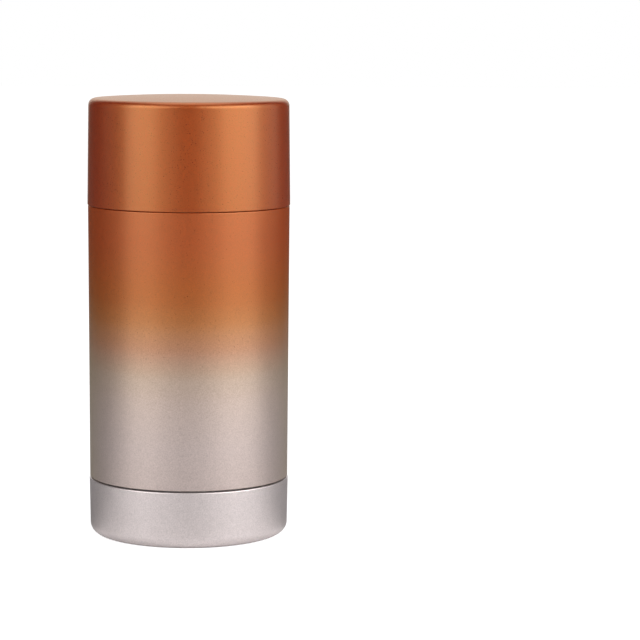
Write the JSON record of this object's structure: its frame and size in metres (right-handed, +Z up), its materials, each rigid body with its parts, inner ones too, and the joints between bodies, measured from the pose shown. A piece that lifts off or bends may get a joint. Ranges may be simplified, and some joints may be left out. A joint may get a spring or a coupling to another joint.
{
  "type": "deodorant stick container",
  "caption": "Empty round twist-up stick container with pull-off cap, sealing disc, screw-lifted platform and turning base, in a copper to rose-silver metallic finish.",
  "frame": {"origin": "centre of the base's underside, on the table", "axes": "+Z up along the pack's axis, +X to the right as the picture shows it, +Y away from the viewer"},
  "size_m": [0.0504, 0.0504, 0.1096],
  "materials": {
    "copper_paint": "satin metallic paint, coppery brown",
    "faded_paint": "satin metallic paint, coppery brown above fading to rose silver below",
    "rose_silver_paint": "satin metallic paint, rose silver",
    "natural_white": "moulded, natural white, slightly waxy"
  },
  "bodies": {
    "body": {"body_shell": "faded_paint", "barrel": "natural_white"},
    "cap": {"cap_shell": "copper_paint", "cap_liner": "natural_white"},
    "disc": {"sealing_disc": "natural_white"},
    "lift": {"platform": "natural_white"},
    "base": {"base_shell": "rose_silver_paint", "base_insert": "natural_white", "spindle": "natural_white"}
  },
  "joints": [
    {"name": "base_turn", "type": "hinge", "parent": "body", "child": "base", "pos_m": [0, 0, 0.01445], "axis": [0, 0, 1], "range_deg": [0, 4611.6]},
    {"name": "platform_lift", "type": "slide", "parent": "body", "child": "lift", "axis": [0, 0, 1], "range_m": [0, 0.06405]},
    {"name": "cap_lift", "type": "slide", "parent": "body", "child": "cap", "axis": [0, 0, 1], "range_m": [0, 0.04]},
    {"name": "disc_lift", "type": "slide", "parent": "body", "child": "disc", "axis": [0, 0, 1], "range_m": [0, 0.0035]}
  ],
  "couplings": [
    {"joint": "platform_lift", "follows": "base_turn", "m_per_rad": 0.00079577}
  ]
}
